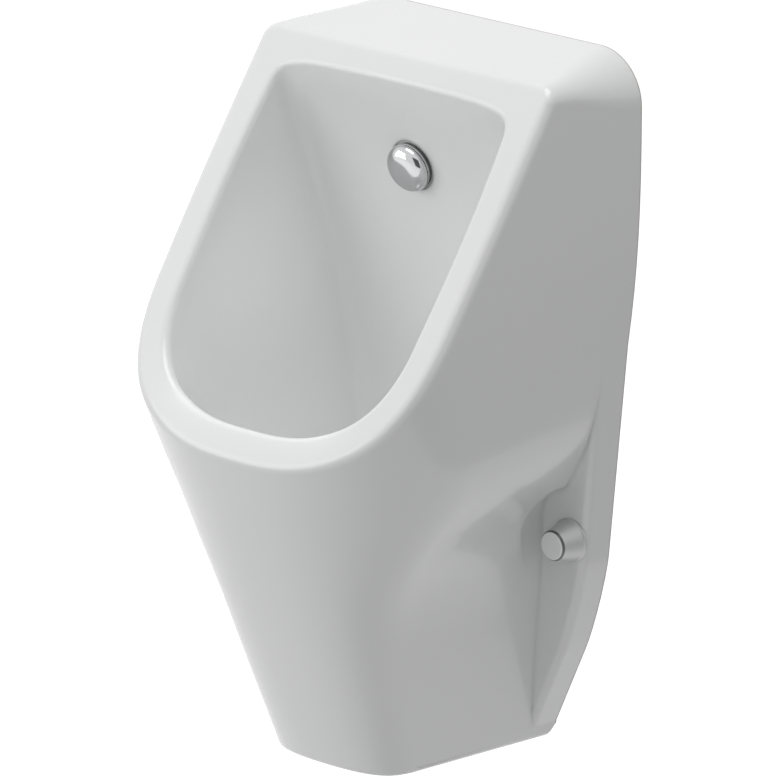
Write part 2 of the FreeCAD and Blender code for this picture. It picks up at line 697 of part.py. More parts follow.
def trap_pieces():
    """Bottle trap under the bowl: body, dip tube, cup, seals and the nut on the ceramic spigot."""
    base = at(0.0, drain_depth, 0.0)
    spigot_radius = outlet_radius + spigot_wall
    socket_inner = spigot_radius + gasket_thickness + plastic_fit
    socket_outer = socket_inner + trap_wall
    bottle_inner = trap_radius - trap_wall
    dip_hole = dip_radius + plastic_fit
    body = turned([(trap_radius, trap_joint_height), (trap_radius, trap_ledge_height),
                   (socket_outer, trap_ledge_top), (socket_outer, trap_mouth_height),
                   (socket_inner, trap_mouth_height), (socket_inner, trap_ledge_top),
                   (dip_hole, trap_ledge_top), (dip_hole, trap_ledge_height),
                   (bottle_inner, trap_ledge_height - trap_wall),
                   (bottle_inner, trap_joint_height)], base, up)
    outlet_axis = at(0.0, drain_depth, outlet_height)
    outlet_bore = outlet_pipe_radius - outlet_pipe_wall
    socket_hole = outlet_pipe_radius + plastic_fit
    outlet_outer = outlet_pipe_radius + outlet_seal_thickness + plastic_fit + trap_wall
    outlet_end = trap_radius + outlet_socket_length
    seal_start = outlet_end - outlet_seal_length
    pipe_end = outlet_end - outlet_pipe_grip
    arm = rod(outlet_outer, outlet_axis, to_wall, 0.0, outlet_end).cut(
        rod(bottle_inner, base, up, 0.0, body_height))
    body = body.fuse(arm).cut([
        rod(outlet_bore, outlet_axis, to_wall, 0.0, outlet_end),
        rod(socket_hole, outlet_axis, to_wall, pipe_end, outlet_end),
        rod(socket_hole + outlet_seal_thickness, outlet_axis, to_wall, seal_start, outlet_end)])
    cup_inner = trap_radius + plastic_fit
    cup_outer = cup_inner + trap_wall
    shoulder = trap_joint_height - cup_shoulder
    cup_top = trap_joint_height + cup_overlap
    cup_floor = trap_bottom_height + trap_wall
    cup_bend = cup_round * (1 - math.sqrt(0.5))
    cup = turned([(0, trap_bottom_height), (cup_outer - cup_round, trap_bottom_height),
                  (cup_outer - cup_bend, trap_bottom_height + cup_bend,
                   cup_outer, trap_bottom_height + cup_round), (cup_outer, cup_top),
                  (cup_inner, cup_top), (cup_inner, shoulder), (bottle_inner, shoulder),
                  (bottle_inner, cup_floor + cup_round), (bottle_inner - cup_round, cup_floor),
                  (0, cup_floor)], base, up)
    dip_inner = dip_radius - dip_wall
    dip_top = trap_ledge_top + dip_wall
    dip = turned([(dip_inner, dip_bottom_height), (dip_radius, dip_bottom_height),
                  (dip_radius, trap_ledge_top), (dip_flange_radius, trap_ledge_top),
                  (dip_flange_radius, dip_top), (dip_inner, dip_top)], base, up)
    nut_inner = socket_outer + plastic_fit
    nut_outer = nut_inner + trap_nut_wall
    nut_lip_radius = spigot_radius + plastic_fit
    nut_bottom = trap_mouth_height - trap_nut_skirt
    nut_top = trap_mouth_height + trap_nut_lip
    nut = turned([(nut_inner, nut_bottom), (nut_outer, nut_bottom), (nut_outer, nut_top),
                  (nut_lip_radius, nut_top), (nut_lip_radius, trap_mouth_height),
                  (nut_inner, trap_mouth_height)], base, up)
    pipe_hole = outlet_pipe_radius + plastic_fit / 3
    nut_hole = outlet_outer + plastic_fit
    outlet_nut = turned([(nut_hole, outlet_end - outlet_nut_length + outlet_nut_lip),
                         (nut_hole + outlet_nut_wall, outlet_end - outlet_nut_length + outlet_nut_lip),
                         (nut_hole + outlet_nut_wall, outlet_end + outlet_nut_lip),
                         (socket_hole, outlet_end + outlet_nut_lip), (socket_hole, outlet_end),
                         (nut_hole, outlet_end)], outlet_axis, to_wall)
    step_start = drain_depth - outlet_step_depth
    step_end = step_start + outlet_step_length
    pipe_far = drain_depth + outlet_into_wall
    wall_bore = outlet_wall_radius - outlet_pipe_wall
    pipe = turned([(outlet_bore, pipe_end), (outlet_pipe_radius, pipe_end),
                   (outlet_pipe_radius, step_start), (outlet_wall_radius, step_end),
                   (outlet_wall_radius, pipe_far), (wall_bore, pipe_far),
                   (wall_bore, step_end), (outlet_bore, step_start)], outlet_axis, to_wall)
    gasket_bore = spigot_radius + plastic_fit / 3
    gasket_outer = spigot_radius + gasket_thickness
    gasket_lip_bore = dip_flange_radius + plastic_fit
    gasket = turned([(gasket_lip_bore, trap_ledge_top), (gasket_outer, trap_ledge_top),
                     (gasket_outer, trap_mouth_height), (gasket_bore, trap_mouth_height),
                     (gasket_bore, spigot_end_height), (gasket_lip_bore, spigot_end_height)], base, up)
    return {
        "trap_body": body,
        "trap_cup": cup,
        "trap_cup_seal": ring(trap_radius, bottle_inner, base, up, shoulder, trap_joint_height),
        "trap_dip_tube": dip,
        "trap_nut": nut,
        "outlet_gasket": gasket,
        "outlet_pipe": pipe,
        "outlet_pipe_seal": ring(socket_hole + outlet_seal_thickness - plastic_fit / 3, pipe_hole,
                                 outlet_axis, to_wall, seal_start, outlet_end),
        "outlet_nut": outlet_nut,
    }


def main():
    pieces = {"ceramic_body": ceramic_body(), "drain_strainer": strainer(),
              "left_cap": bolt_cap(-1), "right_cap": bolt_cap(1)}
    for group in (fixing_pieces(), nozzle_pieces(), inlet_pieces(), trap_pieces()):
        pieces.update(group)
    os.makedirs("parts", exist_ok=True)
    for name, shape in pieces.items():
        shape.exportStep("parts/" + name + ".step")
        print(name, shape.isValid(), len(shape.Solids), round(shape.Volume), "mm3")


main()
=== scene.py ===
"""Dresses the wall-hung urinal: its finishes, the drawn dome, seal and nuts, and the stage."""
import json
import math
from typing import NamedTuple

import bpy
import numpy as np
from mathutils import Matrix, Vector

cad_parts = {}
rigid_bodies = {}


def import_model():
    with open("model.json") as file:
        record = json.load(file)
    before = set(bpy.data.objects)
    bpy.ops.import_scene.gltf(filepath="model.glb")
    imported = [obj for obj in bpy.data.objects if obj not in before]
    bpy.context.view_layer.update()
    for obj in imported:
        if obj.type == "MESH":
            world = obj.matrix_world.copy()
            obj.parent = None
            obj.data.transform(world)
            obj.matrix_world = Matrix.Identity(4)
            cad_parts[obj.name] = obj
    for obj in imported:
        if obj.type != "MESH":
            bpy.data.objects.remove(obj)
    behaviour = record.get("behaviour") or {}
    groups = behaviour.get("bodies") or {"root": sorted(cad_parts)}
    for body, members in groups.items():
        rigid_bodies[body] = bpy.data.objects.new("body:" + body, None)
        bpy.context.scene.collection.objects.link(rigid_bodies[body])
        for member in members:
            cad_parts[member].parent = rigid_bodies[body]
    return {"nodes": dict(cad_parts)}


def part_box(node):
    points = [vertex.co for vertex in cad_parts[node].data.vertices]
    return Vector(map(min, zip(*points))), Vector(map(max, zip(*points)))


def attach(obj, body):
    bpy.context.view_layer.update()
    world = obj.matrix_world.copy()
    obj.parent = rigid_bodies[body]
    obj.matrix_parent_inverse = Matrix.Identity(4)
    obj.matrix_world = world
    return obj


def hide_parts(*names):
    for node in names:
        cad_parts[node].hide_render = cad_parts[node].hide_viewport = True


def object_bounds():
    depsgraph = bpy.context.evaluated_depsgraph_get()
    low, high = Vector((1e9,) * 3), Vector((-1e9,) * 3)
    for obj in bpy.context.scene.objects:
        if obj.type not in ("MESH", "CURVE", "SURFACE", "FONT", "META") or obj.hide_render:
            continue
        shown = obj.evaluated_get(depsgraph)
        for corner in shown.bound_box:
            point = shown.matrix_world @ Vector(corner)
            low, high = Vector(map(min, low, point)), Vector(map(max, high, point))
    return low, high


bl_info = {
    "name": "Wall-hung urinal",
    "version": (1, 0, 0),
    "blender": (4, 5, 0),
    "location": "3D View > Sidebar > Urinal",
    "description": "Finishes the pieces of a wall-hung urinal and lights it",
    "category": "Object",
}

for left_over in list(bpy.data.objects):
    bpy.data.objects.remove(left_over)
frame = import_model()
cad_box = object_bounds()

# Outline of the casting as (share of the height, size in metres), to tell its hollow from its glazed skin
casting_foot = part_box("ceramic_body")[0].z
casting_height = cad_box[1].z - casting_foot
wall_half_line = ((0.0, 0.066), (0.266, 0.076), (0.323, 0.082), (0.457, 0.122), (0.603, 0.14), (0.78, 0.15),
                  (1.0, 0.1515))
side_half_line = ((0.0, 0.065), (0.266, 0.086), (0.323, 0.099), (0.457, 0.136), (0.603, 0.1495),
                  (0.78, 0.155), (1.0, 0.1545))
bowl_back_line = ((0.0, 0.064), (0.245, 0.064), (0.305, 0.058), (0.483, 0.058), (0.611, 0.066),
                  (0.952, 0.1115), (1.0, 0.118))
skin_front_line = ((0.0, 0.19), (0.266, 0.249), (0.49, 0.291), (0.984, 0.099), (1.0, 0.093))
line_scale = 0.4

# Hollow of the casting, in metres: how far in from the skin it starts, the sides' swell and the corners
hollow_inset = 0.0055
hollow_wander = 0.004
hollow_edge = 0.0012
swell_start = 0.012
swell_depth = 0.19
top_slope = 0.091
top_corner = 0.042
skirt_corner = 0.045
front_insets = 2.0

# Floor of the bowl as a share of the casting's height, below which the skirt is hollow too
floor_share = 0.245
floor_edge = 0.002

# Glazed recess round a wall bolt, in metres: an arch that springs a little above the bolt
bolt_half = 0.108
arch_rise = 0.012
arch_radius = 0.034
recess_depth = 0.027

# Bare strip of the casting along the wall, in metres
strip_depth = 0.0012
strip_wander = 0.001
strip_edge = 0.0006

# Inner corner between body and wall plate: depths and half width in metres, top as a share of the height
joint_near = 0.022
joint_far = 0.068
joint_half = 0.056
joint_top = 0.75
joint_edge = 0.012
joint_far_edge = 0.02
joint_top_edge = 0.1

# Flush nozzle, in metres: its axis out of the wall, and places along it from the middle of the front seal
flush_axis = (0.0, -0.9667, -0.2561)
dome_seat = 0.0041
stem_end = 0.0098
stem_radius = 0.009
seal_round = 0.0006

# Nuts of the trap, in metres: their axes, the bores of their lips, and their ribs
trap_nut_axis = (0.0, 0.0, 1.0)
trap_nut_bore = 0.0283
outlet_nut_axis = (0.0, 1.0, 0.0)
outlet_nut_bore = 0.0203
outlet_nut_lip = 0.0025
nut_round = 0.0009
rib_fade = 0.0006
crest_gain = 1.6
crest_lift = 0.2

# Drawn pieces: most of a side that a corner's curve may take, and the angle from which an edge stays sharp
side_share = 0.49
sharp_angle = math.radians(40)

# Points that the lamps aim at, the ways to the lamps, and their distances and widths in metres
body_middle = (0.0, -0.14, 0.12)
bowl_middle = (0.0, -0.1, 0.1)
above_way = (0.0, -0.1, 1.0)
ahead_way = (-0.6, -0.77, 0.22)
bowl_way = (0.0, -0.8, 0.6)
studio_distance = 2.8
studio_width = 1.8
bowl_distance = 0.17
bowl_width = 0.16

# Cards that shiny pieces show, in metres, and their corners as shares of width and height
camera_card_away = 2.4
camera_card_size = 1.9
right_card_place = (1.0, 0.3, -0.1)
right_card_width = 1.8
right_card_height = 1.0
corners_across = np.array((-0.5, 0.5, 0.5, -0.5))
corners_along = np.array((-0.5, -0.5, 0.5, 0.5))

# Floor and camera
floor_cells = 8
floor_grey = (0.5, 0.5, 0.5)
floor_glow = 0.8
sensor_width = 36.0
view_reach = 100.0

# Shading: plain tones, the middle of a noise, and the sockets of a node that mixes colours
black = (0.0, 0.0, 0.0)
white = (1.0, 1.0, 1.0)
halfway = 0.5
mix_share = 0
mix_first = 6
mix_second = 7
mix_result = 2


class Noise(NamedTuple):
    """Soft noise: its lumps to the metre and its layers of detail."""

    lumps: float
    layers: float


class Touch(NamedTuple):
    """Radius by which a finish softens edges, and the height of its relief, in metres."""

    edge: float
    relief: float = 0.0


# Noises of the finishes
border_noise = Noise(60.0, 3.0)
pool_noise = Noise(7.0, 2.0)
clay_noise = Noise(900.0, 3.0)
ripple_noise = Noise(38.0, 1.5)
gloss_noise = Noise(24.0, 3.0)
wipe_noise = Noise(70.0, 3.0)
brush_noise = Noise(90.0, 4.0)
haze_noise = Noise(120.0, 3.0)
patch_noise = Noise(110.0, 4.0)
bloom_noise = Noise(55.0, 4.0)
rubber_noise = Noise(1400.0, 2.0)
band_noise = Noise(300.0, 3.0)
spark_noise = Noise(1100.0, 2.0)
age_noise = Noise(22.0, 3.0)
pipe_noise = Noise(260.0, 3.0)
scuff_noise = Noise(150.0, 5.0)
flow_noise = Noise(180.0, 3.0)
straw_noise = Noise(260.0, 3.0)
zinc_noise = Noise(2600.0, 2.0)

# Edges and reliefs of the finishes
chrome_touch = Touch(0.0003)
steel_touch = Touch(0.0003, 0.00003)
brass_touch = Touch(0.0004, 0.00002)
rubber_touch = Touch(0.0006, 0.00006)
band_touch = Touch(0.0003, 0.0003)
trap_touch = Touch(0.0007, 0.00005)
pipe_touch = Touch(0.0005, 0.00005)
clip_touch = Touch(0.0004, 0.00004)
zinc_touch = Touch(0.0003, 0.00003)

# Stretch of a noise along x, y and z, for streaks
wipe_streak = (1.0, 1.0, 0.25)
band_streak = (1.0, 12.0, 1.0)
pipe_streak = (1.0, 0.03, 1.0)
scuff_streak = (1.0, 0.3, 1.0)


def length(name, description, default):
    """A length property in metres."""
    return bpy.props.FloatProperty(name=name, description=description, default=default, unit="LENGTH",
                                   precision=4)


def share(name, description, default):
    """A property from none to all."""
    return bpy.props.FloatProperty(name=name, description=description, default=default, min=0.0, max=1.0,
                                   subtype="FACTOR")


def colour(name, description, default):
    """A colour property."""
    return bpy.props.FloatVectorProperty(name=name, description=description, default=default, size=3, min=0.0,
                                         max=1.0, subtype="COLOR")


def bearing(name, description, degrees):
    """An angle property, with its default in degrees."""
    return bpy.props.FloatProperty(name=name, description=description, default=math.radians(degrees),
                                   subtype="ANGLE")


class URINAL_PG_ceramic(bpy.types.PropertyGroup):
    """Glaze and unglazed body of the casting"""

    glaze: colour("Glaze", "Colour of the glaze", (0.85, 0.852, 0.85))
    pooled: colour("Pooled glaze", "Colour where the glaze lies thicker", (0.815, 0.822, 0.825))
    biscuit: colour("Biscuit", "Colour of the unglazed body", (0.7, 0.675, 0.63))
    gloss: share("Glaze roughness", "Roughness of the glaze", 0.24)
    coat: share("Glaze coat", "Share of the mirror-like top of the glaze", 0.3)
    ripple: length("Ripple height", "Height of the slow ripple in the glaze", 0.00018)
    soft_edge: length("Soft edge", "Radius by which the glaze softens edges", 0.003)
    soft_joint: length("Soft joint", "Radius by which it softens the corner at the wall plate", 0.011)


class URINAL_PG_metal(bpy.types.PropertyGroup):
    """Metals of the covers, nozzle, strainer and fixings"""

    chrome: colour("Chrome", "Colour of the chrome plate", (0.62, 0.625, 0.63))
    chrome_gloss: share("Chrome roughness", "Roughness of the chrome dome", 0.1)
    dome_radius: length("Dome radius", "Radius of the flush dome's rim", 0.0196)
    dome_height: length("Dome height", "Height of the flush dome's crown over its rim", 0.009)
    dome_wall: length("Dome wall", "Wall of the flush dome", 0.0014)
    dome_power: bpy.props.FloatProperty(name="Dome flatness", description="Power that flattens the crown",
                                        default=3.5)
    cap_side: colour("Cap side", "Colour of the satin chrome on a cap's side", (0.6, 0.603, 0.606))
    # Cap front: the chrome's colour made brighter as a painted highlight on the flat front
    cap_front_painted_light: colour("Cap front", "Colour of the brushed chrome on a cap's front", (0.9, 0.903, 0.906))
    # Cap edge: a dark colour as a painted dark reflection on the polished edge round the front
    cap_edge_painted_reflection: colour("Cap edge", "Colour of the polished edge round a cap's front", (0.14, 0.141, 0.142))
    cap_side_gloss: share("Cap side roughness", "Roughness of a cap's side", 0.44)
    cap_front_gloss: share("Cap front roughness", "Roughness of a cap's front", 0.5)
    cap_edge_gloss: share("Cap edge roughness", "Roughness of the edge round a cap's front", 0.14)
    cap_round: length("Cap round", "Length of the polished edge along the cap", 0.0022)
    steel: colour("Strainer steel", "Colour of the strainer", (0.6, 0.6, 0.6))
    band: colour("Band steel", "Colour of the hose clamp", (0.56, 0.56, 0.57))
    brass: colour("Brass", "Colour of the turned brass", (0.72, 0.53, 0.24))
    tarnish: colour("Tarnish", "Colour of old brass", (0.4, 0.27, 0.11))
    zinc: colour("Zinc", "Colour of the zinc plate", (0.6, 0.61, 0.6))


class URINAL_PG_plastic(bpy.types.PropertyGroup):
    """Plastics and rubber of the trap, the outlet and the fixings"""

    trap: colour("Trap", "Colour of the trap's plastic", (0.8, 0.8, 0.785))
    pipe: colour("Outlet pipe", "Colour of the outlet pipe", (0.2, 0.205, 0.215))
    clip: colour("Clip", "Colour of the clips and sleeves", (0.74, 0.74, 0.7))
    rubber: colour("Rubber", "Colour of the hidden seals and the connector", (0.034, 0.034, 0.035))
    seal: colour("Dome seal", "Colour of the seal under the flush dome", (0.085, 0.085, 0.086))
    seal_radius: length("Dome seal radius", "Radius of the seal under the flush dome", 0.0189)
    seal_bore: length("Dome seal bore", "Radius of that seal's hole", 0.0112)
    seal_thickness: length("Dome seal thickness", "Thickness of that seal", 0.0034)
    ribs: bpy.props.IntProperty(name="Ribs", description="Grip ribs round a nut", default=30, min=6, max=90)
    rib_height: length("Rib height", "Height of a grip rib", 0.0011)
    nut_wall: length("Nut wall", "Wall of the trap's nuts", 0.0036)
    nut_lip: length("Nut lip", "Height of the lip that bears on the gasket", 0.003)


class URINAL_PG_stage(bpy.types.PropertyGroup):
    """Floor, light and camera"""

    floor: length("Floor", "Height of the floor in the part's frame", -0.545)
    floor_half: length("Floor half width", "Half the width of the floor", 6.0)
    ambient: share("Ambient", "Level of the light from all round", 0.49)
    above: share("Light from above", "Level of the soft light above", 0.39)
    ahead: share("Light from the front left", "Level of the soft light at the front left", 0.245)
    fill: share("Light in the bowl", "Level of the small soft light in the mouth", 0.1)
    dark_card: share("Dark card", "Level of the dark card at the camera that shiny pieces show", 0.12)
    grey_card: share("Grey card", "Level of the grey card at the right that shiny pieces show", 0.5)
    turn: bearing("Camera turn", "Camera's turn to the right", 43.57)
    lift: bearing("Camera lift", "Camera's lift above level", 16.5065)
    away: length("Camera distance", "Distance from the camera to its target", 7.0)
    focal: bpy.props.FloatProperty(name="Lens", description="Focal length in millimetres on a 36 mm sensor",
                                   default=423.06)
    target: bpy.props.FloatVectorProperty(name="Target", description="Point at the picture's middle",
                                          default=(0.021158, -0.142, 0.12794), subtype="XYZ", unit="LENGTH")


class Shade:
    """A socket of a node tree. Sums, products and the like of it add Math nodes."""

    def __init__(self, tree, socket=None):
        self.tree = tree
        self.socket = socket

    def node(self, kind, settings=None, sockets=None, output=0):
        """Adds a node, its settings first, then the values or links of its sockets, and gives one output."""
        made = self.tree.nodes.new(kind)
        for name, value in (settings or {}).items():
            if name == "stops":
                ramp = made.color_ramp.elements
                ramp[0].position, ramp[0].color = value[0]
                ramp[1].position, ramp[1].color = value[-1]
                for place, tone in value[1:-1]:
                    ramp.new(place).color = tone
            else:
                setattr(made, name, value)
        for name, value in (sockets or {}).items():
            if isinstance(value, Shade):
                self.tree.links.new(value.socket, made.inputs[name])
            else:
                made.inputs[name].default_value = value
        return Shade(self.tree, made.outputs[output])

    def maths(self, operation, first, second=0.0, clamp=False):
        """A Math node of two values."""
        settings = {"operation": operation, "use_clamp": clamp}
        return self.node("ShaderNodeMath", settings, {0: first, 1: second})

    def __add__(self, other):
        return self.maths("ADD", self, other)

    def __sub__(self, other):
        return self.maths("SUBTRACT", self, other)

    def __rsub__(self, other):
        return self.maths("SUBTRACT", other, self)

    def __mul__(self, other):
        return self.maths("MULTIPLY", self, other)

    def __truediv__(self, other):
        return self.maths("DIVIDE", self, other)

    __radd__ = __add__
    __rmul__ = __mul__

    def clamped(self):
        """The value kept between none and all."""
        return self.maths("ADD", self, 0.0, True)

    def size(self):
        """The value without its sign."""
        return self.maths("ABSOLUTE", self)

    def top(self, other):
        """The greater of two values."""
        return self.maths("MAXIMUM", self, other)

    def reach(self, other):
        """The length of the slope over two sides."""
        return self.maths("SQRT", self * self + other * other)

    def step(self, edge, width):
        """Rises from none to all as the value passes an edge, over a width."""
        return ((self - edge) / width + halfway).clamped()

    def inside(self, other, radius, margin):
        """All where two distances in from the faces of a corner lie more than a margin inside its round."""
        near = (radius - self).top(0.0)
        far = (radius - other).top(0.0)
        return (radius - margin - near.reach(far)).step(0.0, hollow_edge)

    def mix(self, first, second):
        """A colour from first to second as the value goes from none to all."""
        sockets = {mix_share: self, mix_first: rgba(first), mix_second: rgba(second)}
        return self.node("ShaderNodeMix", {"data_type": "RGBA"}, sockets, mix_result)

    def line(self, stops):
        """A size in metres read off a broken line against a share of the height."""
        marks = [(place, rgba((size / line_scale,) * 3)) for place, size in stops]
        ramp = self.node("ShaderNodeValToRGB", {"stops": marks}, {0: self})
        return ramp.node("ShaderNodeSeparateColor", None, {0: ramp}) * line_scale

    def output(self, kind):
        """Makes this shader the one that its material or world shows."""
        self.tree.links.new(self.socket, self.tree.nodes.new(kind).inputs[0])


def rgba(tone):
    """A colour with full cover, or a socket as it is."""
    return tone if isinstance(tone, Shade) else (*tone, 1.0)


def scaled(tone, *shares):
    """A colour with each part times a share: one share for all parts or one for each."""
    return [part * one for part, one in zip(tone, shares * 3 if len(shares) == 1 else shares)]


def cleared(owner):
    """The emptied node tree of a material or a world."""
    owner.use_nodes = True
    owner.node_tree.nodes.clear()
    return owner.node_tree


class Finish:
    """A material whose nodes end in one Principled shader."""

    def __init__(self, name, **constants):
        self.material = bpy.data.materials.new(name)
        self.tree = cleared(self.material)
        self.start = Shade(self.tree)
        shown = self.start.node("ShaderNodeBsdfPrincipled")
        shown.output("ShaderNodeOutputMaterial")
        self.shader = shown.socket.node
        for socket, value in constants.items():
            self.shader.inputs[socket.replace("_", " ").title().replace("Ior", "IOR")].default_value = value
        self.place = self.start.node("ShaderNodeTexCoord", None, None, "Object")

    def axes(self):
        """The three parts of the place on the object."""
        split = self.start.node("ShaderNodeSeparateXYZ", None, {0: self.place})
        return [Shade(self.tree, socket) for socket in split.socket.node.outputs]

    def noise(self, kind, vector=None):
        """Soft noise from none to all, on the object's place or a vector of its own."""
        sockets = {"Vector": vector or self.place, "Scale": kind.lumps, "Detail": kind.layers}
        return self.start.node("ShaderNodeTexNoise", None, sockets)

    def stretched(self, streak):
        """The place scaled along each axis, for streaks."""
        return self.start.node("ShaderNodeVectorMath", {"operation": "MULTIPLY"}, {0: self.place, 1: streak})

    def relief(self, height, distance, normal):
        """A bump from a height, over a distance in metres, on a direction of the surface."""
        sockets = {"Height": height, "Distance": distance, "Strength": 1.0, "Normal": normal}
        return self.start.node("ShaderNodeBump", None, sockets)

    def rounded(self, radius, samples=4):
        """The surface's direction with edges and inner corners rounded by a radius."""
        return self.start.node("ShaderNodeBevel", {"samples": samples}, {"Radius": radius})

    def textured(self, height, touch):
        """The direction of a surface with softened edges and a relief of a height."""
        return self.relief(height, touch.relief, self.rounded(touch.edge))

    def feed(self, **links):
        """Links what varies over the surface to the shader."""
        for name, value in links.items():
            self.tree.links.new(value.socket, self.shader.inputs[name.replace("_", " ").title()])
        return self.material


def hollow_mask(x, z, depth, height, inset):
    """All in the casting's hollow: under its top, inside its sides and front, behind the bowl or below it in
    the skirt, and outside the recesses round the bolts."""
    wall_half = height.line(wall_half_line)
    swell = ((depth + swell_start) / swell_depth).clamped()
    half = wall_half + (height.line(side_half_line) - wall_half) * swell
    from_side = half - x.size()
    from_top = casting_foot + casting_height - z - depth * top_slope
    from_front = height.line(skin_front_line) - depth
    under_top = from_side.inside(from_top, top_corner, inset)
    within = (from_front - inset * front_insets).step(0.0, hollow_edge)
    behind = (height.line(bowl_back_line) - inset - depth).step(0.0, hollow_edge)
    below = (floor_share - hollow_inset / casting_height - height).step(0.0, floor_edge)
    in_skirt = from_side.inside(from_front, skirt_corner, inset)
    from_bolt = (x.size() - bolt_half).reach((z - arch_rise).top(0.0))
    recess = (arch_radius - from_bolt).step(0.0, hollow_edge) * (depth - recess_depth).step(0.0, hollow_edge)
    return under_top * within * behind.top(below * in_skirt) * (1.0 - recess)


def joint_mask(x, depth, height):
    """All in the inner corner between the body and the wall plate."""
    from_wall = (depth - joint_near).step(0.0, joint_edge) * (joint_far - depth).step(0.0, joint_far_edge)
    beside = (x.size() - joint_half).step(0.0, joint_edge)
    return from_wall * beside * (joint_top - height).step(0.0, joint_top_edge)


def glaze_finish(ceramic, clay_dark=0.94, clay_relief=0.6, clay_dull=0.72, dull_spread=0.04, samples=8):
    """Rippled white glaze, softer over edges, that stops short of the wall and leaves the hollow bare."""
    finish = Finish("glaze", IOR=1.5, Coat_Roughness=0.06)
    x, y, z = finish.axes()
    wander = finish.noise(border_noise) - halfway
    height = ((z - casting_foot) / casting_height).clamped()
    depth = 0.0 - y
    hollow = hollow_mask(x, z, depth, height, hollow_inset + wander * hollow_wander)
    at_wall = (y + strip_depth + wander * strip_wander).step(0.0, strip_edge)
    bare = hollow.top(at_wall)
    glazed = 1.0 - bare
    softness = ceramic.soft_edge + joint_mask(x, depth, height) * (ceramic.soft_joint - ceramic.soft_edge)
    tone = finish.noise(pool_noise).mix(ceramic.glaze, ceramic.pooled)
    grain = finish.noise(clay_noise)
    clay = grain.mix(scaled(ceramic.biscuit, clay_dark), ceramic.biscuit)
    ripple = finish.noise(ripple_noise) * glazed + grain * bare * clay_relief
    dull = ceramic.gloss + (finish.noise(gloss_noise) - halfway) * dull_spread
    return finish.feed(base_color=bare.mix(tone, clay), roughness=bare * clay_dull + glazed * dull,
                       coat_weight=glazed * ceramic.coat,
                       normal=finish.relief(ripple, ceramic.ripple, finish.rounded(softness, samples)))


def plated(finish, tone, gloss, drop_lumps=420.0, drop_size=3.0, drop_wipe=1.1, drop_edge=0.25,
           wipe_dark=0.06, wipe_dull=0.05, drop_dull=0.03):
    """Chrome plate of a given tone and roughness with faint dried drops and wipe marks."""
    wipe = finish.noise(wipe_noise, finish.stretched(wipe_streak))
    spots = finish.start.node("ShaderNodeTexVoronoi", None, {"Vector": finish.place, "Scale": drop_lumps})
    drops = (spots * drop_size - wipe * drop_wipe).step(0.0, drop_edge)
    wiped = ((1.0 - wipe) * wipe_dark).mix(tone, black)
    return finish.feed(base_color=wiped, roughness=gloss + wipe * wipe_dull + (1.0 - drops) * drop_dull,
                       normal=finish.rounded(chrome_touch.edge))


def chrome_finish(metal):
    """Polished chrome plate."""
    return plated(Finish("dome_chrome", Metallic=1.0), metal.chrome, metal.chrome_gloss)


def cap_finish(metal, front_depth=0.0003, edge_fade=0.0005):
    """Satin chrome with a painted highlight on a cap's flat front, and a painted dark reflection on the
    polished edge between front and side.
    """
    finish = Finish("cap_chrome", Metallic=0.4)
    behind_front = finish.axes()[1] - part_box("right_cap")[0].y
    front = (front_depth - behind_front).step(0.0, front_depth)
    edge = (metal.cap_round - behind_front).step(0.0, edge_fade) * (1.0 - front)
    side = (1.0 - front) * (1.0 - edge)
    # Painted light: a brighter painted highlight on the front and a painted dark reflection on the edge
    tone = edge.mix(front.mix(metal.cap_side, metal.cap_front_painted_light), metal.cap_edge_painted_reflection)
    gloss = front * metal.cap_front_gloss + edge * metal.cap_edge_gloss + side * metal.cap_side_gloss
    return plated(finish, tone, gloss)


def strainer_finish(metal, squeeze=26.0, dark=0.82, dull=0.2, line_dull=0.16, haze_dull=0.06):
    """Stainless steel brushed in circles round the drain, with a faint haze."""
    finish = Finish("strainer_steel", Metallic=1.0)
    low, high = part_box("drain_strainer")
    x, y, z = finish.axes()
    radius = (x - (low.x + high.x) / 2).reach(y - (low.y + high.y) / 2)
    circles = finish.start.node("ShaderNodeCombineXYZ", None, {0: radius * squeeze, 1: z * squeeze})
    lines = finish.noise(brush_noise, circles)
    haze = finish.noise(haze_noise)
    return finish.feed(base_color=haze.mix(scaled(metal.steel, dark), metal.steel),
                       roughness=dull + lines * line_dull + haze * haze_dull,
                       normal=finish.textured(lines, steel_touch))


def brass_finish(metal, tool_rings=9000.0, old_from=0.55, old_fade=0.3, dull=0.2, old_dull=0.25,
                 patch_dull=0.06):
    """Turned brass with fine tool rings along the flush axis, and tarnish in patches."""
    finish = Finish("brass_fitting", Metallic=1.0)
    x, y, z = finish.axes()
    along = y * flush_axis[1] + z * flush_axis[2]
    rings = along.maths("SINE", along * tool_rings)
    patches = finish.noise(patch_noise)
    tarnished = patches.step(old_from, old_fade)
    return finish.feed(base_color=tarnished.mix(metal.brass, metal.tarnish),
                       roughness=dull + tarnished * old_dull + patches * patch_dull,
                       normal=finish.textured(rings, brass_touch))


def rubber_finish(name, tone, bloom_from=0.58, bloom_fade=0.4, gain=1.6, lift=0.008, dull=0.52,
                  bloom_dull=0.2):
    """Matt moulded rubber of a tone, with a fine grain and a dusty bloom."""
    finish = Finish(name, IOR=1.5)
    bloom = finish.noise(bloom_noise)
    dusty = [part * gain + lift for part in tone]
    return finish.feed(base_color=bloom.step(bloom_from, bloom_fade).mix(tone, dusty),
                       roughness=dull + bloom * bloom_dull,
                       normal=finish.textured(finish.noise(rubber_noise), rubber_touch))


